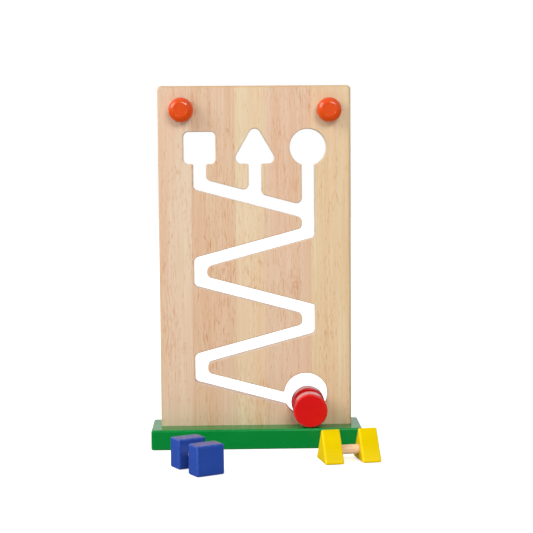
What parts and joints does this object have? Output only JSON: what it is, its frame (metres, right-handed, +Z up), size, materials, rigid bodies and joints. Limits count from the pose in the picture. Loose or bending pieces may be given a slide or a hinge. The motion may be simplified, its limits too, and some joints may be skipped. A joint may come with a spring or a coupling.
{
  "type": "shape slide board",
  "caption": "Upright wooden board with a zig-zag slot, on a base bar, and shape-ended dumbbells that enter through matching holes and roll down the slot.",
  "frame": {"origin": "centre of the base bar's underside, on the table", "axes": "+X to the right along the base bar as seen from the front, +Y to the back, +Z up"},
  "size_m": [0.2423, 0.1949, 0.3945],
  "materials": {
    "board_wood": "clear satin varnish",
    "dowel_wood": "bare sanded wood",
    "green_lacquer": "gloss lacquer",
    "red_lacquer": "gloss lacquer",
    "blue_lacquer": "gloss lacquer",
    "yellow_lacquer": "gloss lacquer",
    "orange_lacquer": "gloss lacquer",
    "screw_steel": "zinc plated"
  },
  "bodies": {
    "stand": {"base_bar": "green_lacquer", "maze_board": "board_wood", "base_screw_1": "screw_steel", "base_screw_2": "screw_steel", "base_screw_3": "screw_steel", "base_screw_4": "screw_steel", "left_knob": "orange_lacquer", "left_knob_pin": "dowel_wood", "right_knob": "orange_lacquer", "right_knob_pin": "dowel_wood"},
    "red_axle": {"red_dowel": "dowel_wood"},
    "red_ends": {"red_front_disc": "red_lacquer", "red_rear_disc": "red_lacquer"},
    "blue_dumbbell": {"blue_dowel": "dowel_wood", "blue_front_block": "blue_lacquer", "blue_rear_block": "blue_lacquer"},
    "yellow_dumbbell": {"yellow_dowel": "dowel_wood", "yellow_left_prism": "yellow_lacquer", "yellow_right_prism": "yellow_lacquer"}
  },
  "joints": [
    {"name": "red_roll", "type": "slide", "parent": "stand", "child": "red_axle", "axis": [1, 0, 0], "range_m": [-0.016, 0.008]},
    {"name": "red_turn", "type": "hinge", "parent": "red_axle", "child": "red_ends", "pos_m": [0.0586, 0, 0.0408], "axis": [0, 1, 0], "range_deg": [-50, 25]},
    {"name": "blue_lift", "type": "slide", "parent": "stand", "child": "blue_dumbbell", "axis": [0, 0, 1], "range_m": [0, 0.312]},
    {"name": "yellow_lift", "type": "slide", "parent": "stand", "child": "yellow_dumbbell", "axis": [0, 0, 1], "range_m": [0, 0.313]}
  ],
  "couplings": [
    {"joint": "red_turn", "follows": "red_roll", "rad_per_m": 54.054}
  ]
}
